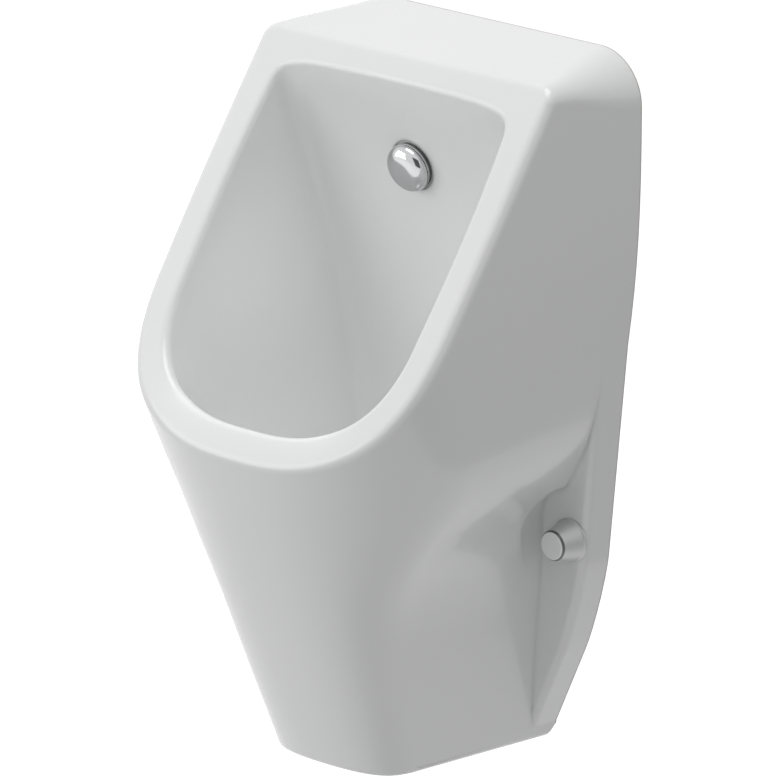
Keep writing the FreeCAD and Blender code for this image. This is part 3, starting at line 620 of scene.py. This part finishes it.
def band_finish(metal, axis_lift=0.003, slot_turns=34.0, slot_from=0.35, slot_fade=0.2, slot_share=0.7,
                slot_shade_and_rubber=0.3, line_dark=0.8, dull=0.18, line_dull=0.18):
    """Bright band with worm slots round it, painted darker as shade in their hollows and the dark rubber seen
    through them, and a brushed length.
    """
    finish = Finish("clamp_steel", Metallic=1.0)
    low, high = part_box("connector_clamp")
    lines = finish.noise(band_noise, finish.stretched(band_streak))
    x, y, z = finish.axes()
    round_band = x.maths("ARCTAN2", z - (low.z + high.z) / 2 + axis_lift, x)
    slots = x.maths("SINE", round_band * slot_turns).step(slot_from, slot_fade)
    tone = lines.mix(scaled(metal.band, line_dark), metal.band)
    # The slots are painted darker: painted shade in their hollows and the dark rubber seen through them
    return finish.feed(base_color=(slots * slot_share).mix(tone, scaled(metal.band, slot_shade_and_rubber)),
                       roughness=dull + lines * line_dull, normal=finish.textured(1.0 - slots, band_touch))


def trap_finish(plastic, old_from=0.55, old_fade=0.5, old=(1.0, 0.975, 0.91), dull=0.3, spark_dull=0.12,
                old_dull=0.08):
    """White moulded plastic with a fine spark texture, yellowed a little in places."""
    finish = Finish("white_plastic", IOR=1.49)
    spark = finish.noise(spark_noise)
    aged = finish.noise(age_noise)
    return finish.feed(base_color=aged.step(old_from, old_fade).mix(plastic.trap, scaled(plastic.trap, *old)),
                       roughness=dull + spark * spark_dull + aged * old_dull,
                       normal=finish.textured(spark, trap_touch))


def pipe_finish(plastic, scuff_from=0.66, scuff_fade=0.1, scuff_share=0.5, scuff_gain=1.6, dull=0.32,
                line_dull=0.14, scuff_dull=0.2):
    """Grey drain pipe with drawing lines along it and light scuffs."""
    finish = Finish("grey_plastic", IOR=1.5)
    lines = finish.noise(pipe_noise, finish.stretched(pipe_streak))
    scuffs = finish.noise(scuff_noise, finish.stretched(scuff_streak)).step(scuff_from, scuff_fade)
    return finish.feed(base_color=(scuffs * scuff_share).mix(plastic.pipe, scaled(plastic.pipe, scuff_gain)),
                       roughness=dull + lines * line_dull + scuffs * scuff_dull,
                       normal=finish.textured(lines, pipe_touch))


def clip_finish(plastic, dark=0.93, dull=0.4, flow_dull=0.15):
    """Milky nylon with flow marks."""
    finish = Finish("clip_plastic", IOR=1.53)
    flow = finish.noise(flow_noise)
    return finish.feed(base_color=flow.mix(scaled(plastic.clip, dark), plastic.clip),
                       roughness=dull + flow * flow_dull, normal=finish.textured(flow, clip_touch))


def zinc_finish(metal, straw=(1.0, 0.97, 0.86), dull=0.25, bloom_dull=0.2):
    """Bright zinc plate with a faint straw bloom."""
    finish = Finish("zinc_steel", Metallic=1.0)
    bloom = finish.noise(straw_noise)
    return finish.feed(base_color=bloom.mix(scaled(metal.zinc, *straw), metal.zinc),
                       roughness=dull + bloom * bloom_dull,
                       normal=finish.textured(finish.noise(zinc_noise), zinc_touch))


def dress(material, *names):
    """Gives CAD nodes a material."""
    for name in names:
        for holder in frame["nodes"][name].material_slots:
            holder.material = material


def round_corners(points, radius, steps=5):
    """Closed outline with each corner turned into a curve: a quadratic Bezier between the points a radius
    before and after the corner, kept within half of each side."""
    corners = np.asarray(points, float)
    before = np.roll(corners, 1, axis=0) - corners
    after = np.roll(corners, -1, axis=0) - corners
    reach_before = np.linalg.norm(before, axis=1, keepdims=True)
    reach_after = np.linalg.norm(after, axis=1, keepdims=True)
    start = corners + before / reach_before * np.minimum(radius, reach_before * side_share)
    end = corners + after / reach_after * np.minimum(radius, reach_after * side_share)
    t = np.linspace(0.0, 1.0, steps)[None, :, None]
    curve = (1 - t) ** 2 * start[:, None] + 2 * t * (1 - t) * corners[:, None] + t ** 2 * end[:, None]
    return curve.reshape(-1, 2)


def directions(axis, turns):
    """The axis as an array, and the directions out from it at evenly spaced angles: cosine times x plus sine
    times the direction square to both."""
    along = np.array(axis, float)
    across = np.array((1.0, 0.0, 0.0))
    angle = np.linspace(0.0, 2 * np.pi, turns, endpoint=False)[:, None]
    return along, np.cos(angle) * across + np.sin(angle) * np.cross(along, across)


def ribbed_ring(outline, centre, axis, ribs=0, rib_height=0.0, rib_from=0.0, turns=360):
    """Points and faces of a closed outline of (radius, place along the axis) carried round an axis. Where the
    outline's radius passes rib_from, ribs stand out by rib_height times the raised part of a cosine of that
    many turns."""
    along, outward = directions(axis, turns)
    angle = np.linspace(0.0, 2 * np.pi, turns, endpoint=False)
    crest = np.clip(np.cos(ribs * angle) * crest_gain + crest_lift, 0.0, 1.0)
    outside = np.clip((outline[:, 0] - rib_from) / rib_fade, 0.0, 1.0)
    radius = outline[:, :1] + outside[:, None] * rib_height * crest[None, :]
    places = np.asarray(centre, float) + outline[:, 1:] * along
    points = (places[:, None] + radius[:, :, None] * outward[None]).reshape(-1, 3)
    rows, turned = np.meshgrid(np.arange(len(outline)), np.arange(turns), indexing="ij")
    next_row, next_turn = (rows + 1) % len(outline), (turned + 1) % turns
    faces = np.stack((rows * turns + turned, next_row * turns + turned, next_row * turns + next_turn,
                      rows * turns + next_turn), axis=-1).reshape(-1, 4)
    first, second, third = points[faces[:, 0]], points[faces[:, 1]], points[faces[:, 2]]
    inside_out = np.einsum("ij,ij->", first - points.mean(0), np.cross(second - first, third - first)) < 0
    return points, (faces[:, ::-1] if inside_out else faces).tolist()


def dome_profile(metal, steps=60):
    """Outline of the dome from its crown over the rim and the inside to the stem, as (radius, place along the
    flush axis). At a share s of the radius the crown stands height * (1 - s ** power) ** 0.5 over the rim."""
    share_out = np.sin(np.linspace(0.0, np.pi / 2, steps))
    rise = np.sqrt(np.maximum(1.0 - share_out ** metal.dome_power, 0.0))
    outer = np.stack((metal.dome_radius * share_out, dome_seat + metal.dome_height * rise), axis=-1)
    inner = np.stack(((metal.dome_radius - metal.dome_wall) * share_out,
                      dome_seat + (metal.dome_height - metal.dome_wall) * rise), axis=-1)
    inner = inner[inner[:, 0] > stem_radius][::-1]
    boss = np.array(((stem_radius, inner[-1, 1]), (stem_radius, stem_end), (0.0, stem_end)))
    return np.concatenate((outer, inner, boss))


def turned_piece(profile, centre, axis, turns=180):
    """Points and faces of a profile of (radius, place along the axis) carried round an axis through a centre.
    The profile starts and ends on the axis, where a fan of triangles closes each pole."""
    along, outward = directions(axis, turns)
    places = np.array(centre, float) + profile[:, 1:] * along
    rows = profile[1:-1]
    rings = places[1:-1, None] + rows[:, None, :1] * outward[None]
    points = np.concatenate((rings.reshape(-1, 3), places[:1], places[-1:]))
    row, turned = np.meshgrid(np.arange(len(rows) - 1), np.arange(turns), indexing="ij")
    next_turn = (turned + 1) % turns
    sides = np.stack((row * turns + turned, row * turns + next_turn, (row + 1) * turns + next_turn,
                      (row + 1) * turns + turned), axis=-1).reshape(-1, 4)
    first, second = np.arange(turns), (np.arange(turns) + 1) % turns
    last = (len(rows) - 1) * turns
    crown = np.stack((np.full(turns, len(rows) * turns), second, first), axis=-1)
    foot = np.stack((np.full(turns, len(rows) * turns + 1), last + first, last + second), axis=-1)
    return points, sides.tolist() + crown.tolist() + foot.tolist()


def add_mesh(name, points, faces, material):
    """A mesh object at the origin."""
    mesh = bpy.data.meshes.new(name)
    mesh.from_pydata(points.tolist(), [], faces)
    mesh.materials.append(material)
    made = bpy.data.objects.new(name, mesh)
    bpy.context.scene.collection.objects.link(made)
    return made


def add_piece(name, points, faces, material, body):
    """A smooth mesh object that stands for the CAD node of its name."""
    piece = add_mesh(name + "_dressed", points, faces, material)
    mesh = piece.data
    mesh.polygons.foreach_set("use_smooth", np.ones(len(mesh.polygons), bool))
    mesh.set_sharp_from_angle(angle=sharp_angle)
    mesh.update()
    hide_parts(name)
    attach(piece, body)


def add_dome(metal, material):
    """The flush dome, over the middle of its seal."""
    low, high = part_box("nozzle_front_seal")
    points, faces = turned_piece(dome_profile(metal), (low + high) / 2, flush_axis)
    add_piece("flush_dome", points, faces, material, "urinal")


def add_seal(plastic, material):
    """The flat ring of rubber under the flush dome."""
    low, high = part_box("nozzle_front_seal")
    half = plastic.seal_thickness / 2
    outline = round_corners(((plastic.seal_bore, -half), (plastic.seal_radius, -half),
                             (plastic.seal_radius, half), (plastic.seal_bore, half)), seal_round)
    points, faces = ribbed_ring(outline, (low + high) / 2, flush_axis, turns=180)
    add_piece("nozzle_front_seal", points, faces, material, "urinal")


def add_nut(name, axis, bore, lip, plastic, material):
    """A nut of the trap with grip ribs: a wall as wide and long as its CAD node, and a lip at its far end."""
    low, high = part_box(name)
    along = Vector(axis)
    start, end = low.dot(along), high.dot(along)
    middle = (low + high) / 2
    outer = (high.x - low.x) / 2
    inner = outer - plastic.nut_wall
    seat = end - lip
    outline = round_corners(((inner, start), (outer, start), (outer, end), (bore, end), (bore, seat),
                             (inner, seat)), nut_round)
    points, faces = ribbed_ring(outline, middle - along * middle.dot(along), axis, plastic.ribs,
                                plastic.rib_height, outer - rib_fade)
    add_piece(name, points, faces, material, "urinal")


class URINAL_OT_ceramic(bpy.types.Operator):
    """Glazes the casting"""

    bl_idname = "urinal.ceramic"
    bl_label = "Glaze the casting"

    def execute(self, context):
        dress(glaze_finish(context.scene.urinal_ceramic), "ceramic_body")
        return {"FINISHED"}


class URINAL_OT_covers(bpy.types.Operator):
    """Plates the flush dome and the bolt caps"""

    bl_idname = "urinal.covers"
    bl_label = "Chrome the covers"

    def execute(self, context):
        metal = context.scene.urinal_metal
        chrome = chrome_finish(metal)
        dress(chrome, "flush_dome", "flush_nozzle")
        dress(cap_finish(metal), "left_cap", "right_cap")
        add_dome(metal, chrome)
        return {"FINISHED"}


class URINAL_OT_strainer(bpy.types.Operator):
    """Brushes the drain strainer"""

    bl_idname = "urinal.strainer"
    bl_label = "Brush the strainer"

    def execute(self, context):
        dress(strainer_finish(context.scene.urinal_metal), "drain_strainer")
        return {"FINISHED"}


class URINAL_OT_nozzle(bpy.types.Operator):
    """Finishes the flush nozzle's nut, its seals, the connector and the rubber of the trap"""

    bl_idname = "urinal.nozzle"
    bl_label = "Finish the flush nozzle"

    def execute(self, context):
        metal = context.scene.urinal_metal
        plastic = context.scene.urinal_plastic
        dress(brass_finish(metal), "nozzle_washer", "nozzle_back_nut")
        grey = rubber_finish("grey_rubber", plastic.seal)
        dress(grey, "nozzle_front_seal")
        add_seal(plastic, grey)
        dress(rubber_finish("soft_rubber", plastic.rubber), "nozzle_rear_gasket", "inlet_connector",
              "outlet_gasket", "trap_cup_seal", "outlet_pipe_seal")
        dress(band_finish(metal), "connector_clamp")
        return {"FINISHED"}


class URINAL_OT_trap(bpy.types.Operator):
    """Finishes the trap and gives its nuts grip ribs"""

    bl_idname = "urinal.trap"
    bl_label = "Finish the trap"

    def execute(self, context):
        plastic = context.scene.urinal_plastic
        moulded = trap_finish(plastic)
        dress(moulded, "trap_body", "trap_cup", "trap_dip_tube", "trap_nut", "outlet_nut")
        dress(pipe_finish(plastic), "outlet_pipe")
        add_nut("trap_nut", trap_nut_axis, trap_nut_bore, plastic.nut_lip, plastic, moulded)
        add_nut("outlet_nut", outlet_nut_axis, outlet_nut_bore, outlet_nut_lip, plastic, moulded)
        return {"FINISHED"}


class URINAL_OT_fixings(bpy.types.Operator):
    """Finishes the sleeves, clips, washers and nuts under the caps"""

    bl_idname = "urinal.fixings"
    bl_label = "Finish the wall fixings"

    def execute(self, context):
        dress(clip_finish(context.scene.urinal_plastic), "cap_clips", "bolt_sleeves")
        dress(zinc_finish(context.scene.urinal_metal), "bolt_washers", "bolt_nuts")
        return {"FINISHED"}


def soft_light(name, level, aim, towards, distance, width, mirrored=False):
    """A square lamp that looks at a point from a direction; level 1 lights a white card there to white. Shiny
    surfaces show it only when mirrored."""
    data = bpy.data.lights.new(name, "AREA")
    data.energy = level * math.pi ** 2 * distance ** 2
    data.size = width
    lamp = bpy.data.objects.new(name, data)
    way = Vector(towards).normalized()
    lamp.location = Vector(aim) + way * distance
    lamp.rotation_euler = way.to_track_quat("Z", "Y").to_euler()
    lamp.visible_camera = False
    lamp.visible_glossy = mirrored
    bpy.context.scene.collection.objects.link(lamp)


def reflection_card(name, level, middle, width, height):
    """A flat card that only shiny surfaces show, turned towards the object: its points are the middle plus
    and minus half the width across and half the height along the card."""
    facing = (Vector(body_middle) - Vector(middle)).to_track_quat("Z", "Y")
    across = corners_across[:, None] * width * np.array(facing @ Vector((1.0, 0.0, 0.0)))
    along = corners_along[:, None] * height * np.array(facing @ Vector((0.0, 1.0, 0.0)))
    material = bpy.data.materials.new(name)
    start = Shade(cleared(material))
    glow = start.node("ShaderNodeEmission", None, {"Color": rgba(white), "Strength": level})
    glow.output("ShaderNodeOutputMaterial")
    card = add_mesh(name, np.array(middle) + across + along, [(0, 1, 2, 3)], material)
    card.visible_camera = False
    card.visible_diffuse = False
    card.visible_transmission = False
    card.visible_shadow = False


def seen(tree):
    """All for a ray that shows the background: from the camera, off metal or through glass."""
    path = tree.nodes.new("ShaderNodeLightPath")
    camera, glossy, through = [Shade(tree, path.outputs[name]) for name in (
        "Is Camera Ray", "Is Glossy Ray", "Is Transmission Ray")]
    return camera.top(glossy).top(through)


def add_floor(stage):
    """A level square of a grid: x and y run over it evenly, z is the floor's height. It shows the
    background's white and keeps the object's shadow."""
    row_points = floor_cells + 1
    steps = np.linspace(-stage.floor_half, stage.floor_half, row_points)
    x, y = np.meshgrid(steps, steps)
    points = np.stack((x, y, np.full_like(x, stage.floor)), axis=-1).reshape(-1, 3)
    row, column = np.meshgrid(np.arange(floor_cells), np.arange(floor_cells), indexing="ij")
    first = row * row_points + column
    after = first + row_points
    faces = np.stack((first, first + 1, after + 1, after), axis=-1).reshape(-1, 4)
    material = bpy.data.materials.new("floor_paint")
    tree = cleared(material)
    start = Shade(tree)
    paint = start.node("ShaderNodeBsdfDiffuse", None, {"Color": rgba(floor_grey)})
    glow = start.node("ShaderNodeEmission", None, {"Strength": seen(tree) * floor_glow})
    start.node("ShaderNodeAddShader", None, {0: paint, 1: glow}).output("ShaderNodeOutputMaterial")
    add_mesh("floor", points, faces.tolist(), material)


def add_world(scene, stage):
    """Even light from all round, and white where the background is seen."""
    scene.world = bpy.data.worlds.new("studio")
    tree = cleared(scene.world)
    start = Shade(tree)
    light = start.node("ShaderNodeBackground", None, {"Color": rgba(white), "Strength": stage.ambient})
    shown = start.node("ShaderNodeBackground", None, {"Color": rgba(white), "Strength": 1.0})
    both = start.node("ShaderNodeMixShader", None, {0: seen(tree), 1: light, 2: shown})
    both.output("ShaderNodeOutputWorld")


def add_camera(scene, stage, back):
    """The camera, at a distance from its target along a direction back to it."""
    data = bpy.data.cameras.new("camera")
    data.sensor_width = sensor_width
    data.lens = stage.focal
    data.clip_end = view_reach
    camera = bpy.data.objects.new("camera", data)
    camera.location = Vector(stage.target) + back * stage.away
    camera.rotation_euler = back.to_track_quat("Z", "Y").to_euler()
    scene.collection.objects.link(camera)
    scene.camera = camera


class URINAL_OT_stage(bpy.types.Operator):
    """Adds the floor, the light and the camera"""

    bl_idname = "urinal.stage"
    bl_label = "Set the stage"

    def execute(self, context):
        stage = context.scene.urinal_stage
        add_floor(stage)
        add_world(context.scene, stage)
        soft_light("light_above", stage.above, body_middle, above_way, studio_distance, studio_width, True)
        soft_light("light_ahead", stage.ahead, body_middle, ahead_way, studio_distance, studio_width, True)
        soft_light("light_bowl", stage.fill, bowl_middle, bowl_way, bowl_distance, bowl_width)
        level = math.cos(stage.lift)
        back = Vector((math.sin(stage.turn) * level, -math.cos(stage.turn) * level, math.sin(stage.lift)))
        reflection_card("card_at_camera", stage.dark_card, Vector(stage.target) + back * camera_card_away,
                        camera_card_size, camera_card_size)
        reflection_card("card_at_right", stage.grey_card, right_card_place, right_card_width,
                        right_card_height)
        add_camera(context.scene, stage, back)
        context.scene.view_settings.view_transform = "Standard"
        return {"FINISHED"}


groups = {"urinal_ceramic": URINAL_PG_ceramic, "urinal_metal": URINAL_PG_metal,
          "urinal_plastic": URINAL_PG_plastic, "urinal_stage": URINAL_PG_stage}
operators = (URINAL_OT_ceramic, URINAL_OT_covers, URINAL_OT_strainer, URINAL_OT_nozzle, URINAL_OT_trap,
             URINAL_OT_fixings, URINAL_OT_stage)


class URINAL_PT_panel(bpy.types.Panel):
    """Lists the finishes and the stage"""

    bl_idname = "URINAL_PT_panel"
    bl_label = "Urinal"
    bl_space_type = "VIEW_3D"
    bl_region_type = "UI"
    bl_category = "Urinal"

    def draw(self, context):
        for name, group in groups.items():
            box = self.layout.box()
            box.label(text=group.__doc__)
            for value in group.__annotations__:
                box.prop(getattr(context.scene, name), value)
        for operator in operators:
            self.layout.operator(operator.bl_idname)


def register():
    for made in (*groups.values(), *operators, URINAL_PT_panel):
        bpy.utils.register_class(made)
    for name, group in groups.items():
        setattr(bpy.types.Scene, name, bpy.props.PointerProperty(type=group))


def unregister():
    for name in groups:
        delattr(bpy.types.Scene, name)
    for made in (URINAL_PT_panel, *reversed(operators), *groups.values()):
        bpy.utils.unregister_class(made)


def main():
    register()
    for operator in operators:
        group, name = operator.bl_idname.split(".")
        getattr(getattr(bpy.ops, group), name)()


if __name__ == "__main__":
    main()
